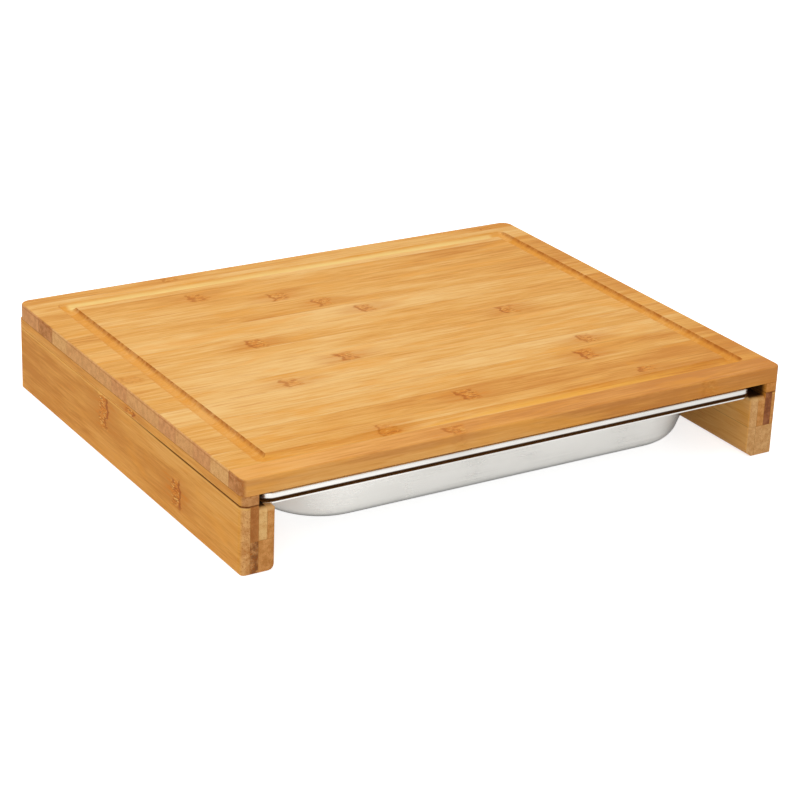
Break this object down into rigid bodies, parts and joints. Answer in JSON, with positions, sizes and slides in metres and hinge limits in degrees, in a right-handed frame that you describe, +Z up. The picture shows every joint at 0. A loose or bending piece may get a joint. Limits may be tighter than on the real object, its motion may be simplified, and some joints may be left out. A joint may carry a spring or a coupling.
{
  "type": "cutting board with drawer trays",
  "caption": "Bamboo cutting board with a juice groove, standing on two legs, with nested stainless steel trays that slide out from under it.",
  "frame": {"origin": "on the floor under the middle of the board, at the centre of the object's footprint", "axes": "+X runs along the front edge to the right as seen from the front, +Y from the front, where the trays come out, to the back, +Z up"},
  "size_m": [0.385, 0.3134, 0.0597],
  "materials": {
    "board_bamboo": "satin, oiled",
    "rail_bamboo": "satin, oiled",
    "leg_bamboo": "satin, oiled",
    "pale_bamboo": "satin, oiled",
    "dark_bamboo": "satin, oiled",
    "dowel_wood": "bare",
    "tray_steel": "brushed"
  },
  "bodies": {
    "frame": {"back_stop_rail": "rail_bamboo", "board_stave_01": "board_bamboo", "board_stave_02": "board_bamboo", "board_stave_03": "board_bamboo", "board_stave_04": "board_bamboo", "board_stave_05": "board_bamboo", "board_stave_06": "board_bamboo", "board_stave_07": "board_bamboo", "board_stave_08": "board_bamboo", "board_stave_09": "board_bamboo", "board_stave_10": "board_bamboo", "board_stave_11": "board_bamboo", "board_stave_12": "board_bamboo", "board_stave_13": "board_bamboo", "board_stave_14": "board_bamboo", "board_stave_15": "board_bamboo", "left_leg_inner_strip_bottom": "leg_bamboo", "left_leg_inner_strip_top": "leg_bamboo", "left_leg_outer_strip": "leg_bamboo", "left_leg_second_strip_bottom": "dark_bamboo", "left_leg_second_strip_top": "dark_bamboo", "left_leg_third_strip_top": "pale_bamboo", "left_spacer_rail": "rail_bamboo", "leg_dowels": "dowel_wood", "right_leg_inner_strip_bottom": "pale_bamboo", "right_leg_inner_strip_top": "pale_bamboo", "right_leg_outer_strip_bottom": "pale_bamboo", "right_leg_outer_strip_top": "pale_bamboo", "right_leg_second_strip_top": "dark_bamboo", "right_leg_third_strip_top": "leg_bamboo", "right_spacer_rail": "rail_bamboo", "stop_rail_dowels": "dowel_wood"},
    "trays": {"lower_tray": "tray_steel", "upper_tray": "tray_steel"}
  },
  "joints": [
    {"name": "trays_slide", "type": "slide", "parent": "frame", "child": "trays", "axis": [0, -1, 0], "range_m": [0, 0.29]}
  ]
}
